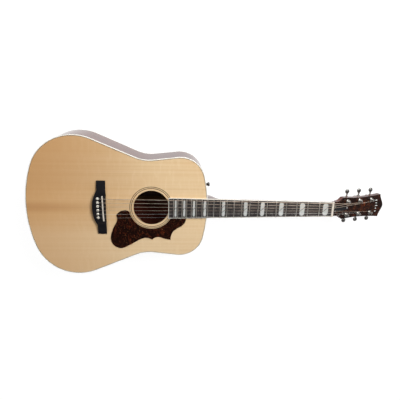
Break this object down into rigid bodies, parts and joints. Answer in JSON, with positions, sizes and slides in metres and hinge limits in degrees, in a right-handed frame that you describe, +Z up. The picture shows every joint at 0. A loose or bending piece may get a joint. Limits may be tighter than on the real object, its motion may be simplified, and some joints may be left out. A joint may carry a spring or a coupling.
{
  "type": "steel-string acoustic guitar",
  "caption": "Flat-top acoustic guitar with a square-shouldered body, pinned bridge, bound neck and worm-geared tuners, resting on its back.",
  "frame": {"origin": "centre of the bounding box on the floor plane, under the resting instrument", "axes": "+X along the neck to the headstock, +Y to the bass side, +Z up out of the soundboard; the tapered back lies flat on Z = 0"},
  "size_m": [1.0528, 0.3984, 0.1265],
  "materials": {
    "spruce_top": "glossy clear lacquer over pale spruce",
    "brace_spruce": "raw sanded",
    "gloss_mahogany": "glossy lacquer",
    "raw_mahogany": "raw sanded",
    "maple": "raw sanded",
    "white_binding": "polished",
    "black_inlay": "polished flush",
    "tortoise_guard": "polished, mottled",
    "tortoise_facing": "polished, mottled",
    "ebony": "satin oiled",
    "bone": "polished bone",
    "ivory_pins": "polished",
    "black_plastic": "polished",
    "pearl": "polished mother of pearl",
    "fret_nickel": "polished crowns",
    "nickel": "polished plating",
    "tool_steel": "plain",
    "brass": "machined",
    "plain_string": "bright drawn wire",
    "wound_string": "bronze wound"
  },
  "bodies": {
    "root": {"soundboard": "spruce_top", "back_panel": "gloss_mahogany", "bass_side": "gloss_mahogany", "treble_side": "gloss_mahogany", "top_lining": "brace_spruce", "back_lining": "brace_spruce", "neck_block": "raw_mahogany", "tail_block": "raw_mahogany", "top_binding": "white_binding", "back_binding": "white_binding", "rosette": "black_inlay", "pickguard": "tortoise_guard", "x_brace": "brace_spruce", "tone_bars": "brace_spruce", "finger_braces": "brace_spruce", "soundhole_braces": "brace_spruce", "bridge_plate": "maple", "back_braces": "brace_spruce", "back_strip": "brace_spruce", "bridge": "ebony", "saddle": "bone", "bridge_pins": "ivory_pins", "end_pin": "black_plastic", "strap_button": "nickel", "strap_button_screw": "nickel", "neck": "gloss_mahogany", "neck_bolts": "tool_steel", "heel_cap": "white_binding", "fingerboard": "ebony", "fingerboard_binding": "white_binding", "frets": "fret_nickel", "fingerboard_inlays": "pearl", "nut": "bone", "headstock_facing": "tortoise_facing", "headstock_inlay": "pearl", "truss_rod": "tool_steel", "truss_rod_cover": "black_plastic", "cover_screws": "nickel", "tuner_housings": "nickel", "tuner_bushings": "nickel", "tuner_screws": "nickel", "string_1": "plain_string", "string_2": "plain_string", "string_3": "wound_string", "string_4": "wound_string", "string_5": "wound_string", "string_6": "wound_string"},
    "truss_rod_nut": {"truss_rod_nut": "brass"},
    "tuner_knob_1": {"tuner_knob_1": "nickel"},
    "tuner_post_1": {"tuner_post_1": "nickel"},
    "tuner_knob_2": {"tuner_knob_2": "nickel"},
    "tuner_post_2": {"tuner_post_2": "nickel"},
    "tuner_knob_3": {"tuner_knob_3": "nickel"},
    "tuner_post_3": {"tuner_post_3": "nickel"},
    "tuner_knob_4": {"tuner_knob_4": "nickel"},
    "tuner_post_4": {"tuner_post_4": "nickel"},
    "tuner_knob_5": {"tuner_knob_5": "nickel"},
    "tuner_post_5": {"tuner_post_5": "nickel"},
    "tuner_knob_6": {"tuner_knob_6": "nickel"},
    "tuner_post_6": {"tuner_post_6": "nickel"}
  },
  "joints": [
    {"name": "truss_rod_adjust", "type": "hinge", "parent": "root", "child": "truss_rod_nut", "pos_m": [0.36113, 0, 0.07189], "axis": [0.9984, 0, -0.0561], "range_deg": [-180, 180]},
    {"name": "knob_1_turn", "type": "hinge", "parent": "root", "child": "tuner_knob_1", "pos_m": [0.4057, -0.02, 0.04327], "axis": [0, 1, 0], "continuous": true},
    {"name": "post_1_turn", "type": "hinge", "parent": "root", "child": "tuner_post_1", "pos_m": [0.40261, -0.02, 0.06429], "axis": [0.3126, 0, 0.9499], "continuous": true},
    {"name": "knob_2_turn", "type": "hinge", "parent": "root", "child": "tuner_knob_2", "pos_m": [0.44607, -0.02, 0.02999], "axis": [0, 1, 0], "continuous": true},
    {"name": "post_2_turn", "type": "hinge", "parent": "root", "child": "tuner_post_2", "pos_m": [0.44298, -0.02, 0.051], "axis": [0.3126, 0, 0.9499], "continuous": true},
    {"name": "knob_3_turn", "type": "hinge", "parent": "root", "child": "tuner_knob_3", "pos_m": [0.48644, -0.02, 0.0167], "axis": [0, 1, 0], "continuous": true},
    {"name": "post_3_turn", "type": "hinge", "parent": "root", "child": "tuner_post_3", "pos_m": [0.48335, -0.02, 0.03772], "axis": [0.3126, 0, 0.9499], "continuous": true},
    {"name": "knob_4_turn", "type": "hinge", "parent": "root", "child": "tuner_knob_4", "pos_m": [0.48644, 0.02, 0.0167], "axis": [0, 1, 0], "continuous": true},
    {"name": "post_4_turn", "type": "hinge", "parent": "root", "child": "tuner_post_4", "pos_m": [0.48335, 0.02, 0.03772], "axis": [0.3126, 0, 0.9499], "continuous": true},
    {"name": "knob_5_turn", "type": "hinge", "parent": "root", "child": "tuner_knob_5", "pos_m": [0.44607, 0.02, 0.02999], "axis": [0, 1, 0], "continuous": true},
    {"name": "post_5_turn", "type": "hinge", "parent": "root", "child": "tuner_post_5", "pos_m": [0.44298, 0.02, 0.051], "axis": [0.3126, 0, 0.9499], "continuous": true},
    {"name": "knob_6_turn", "type": "hinge", "parent": "root", "child": "tuner_knob_6", "pos_m": [0.4057, 0.02, 0.04327], "axis": [0, 1, 0], "continuous": true},
    {"name": "post_6_turn", "type": "hinge", "parent": "root", "child": "tuner_post_6", "pos_m": [0.40261, 0.02, 0.06429], "axis": [0.3126, 0, 0.9499], "continuous": true}
  ],
  "couplings": [
    {"joint": "post_1_turn", "follows": "knob_1_turn", "ratio": -0.0625},
    {"joint": "post_2_turn", "follows": "knob_2_turn", "ratio": -0.0625},
    {"joint": "post_3_turn", "follows": "knob_3_turn", "ratio": -0.0625},
    {"joint": "post_4_turn", "follows": "knob_4_turn", "ratio": -0.0625},
    {"joint": "post_5_turn", "follows": "knob_5_turn", "ratio": -0.0625},
    {"joint": "post_6_turn", "follows": "knob_6_turn", "ratio": -0.0625}
  ]
}
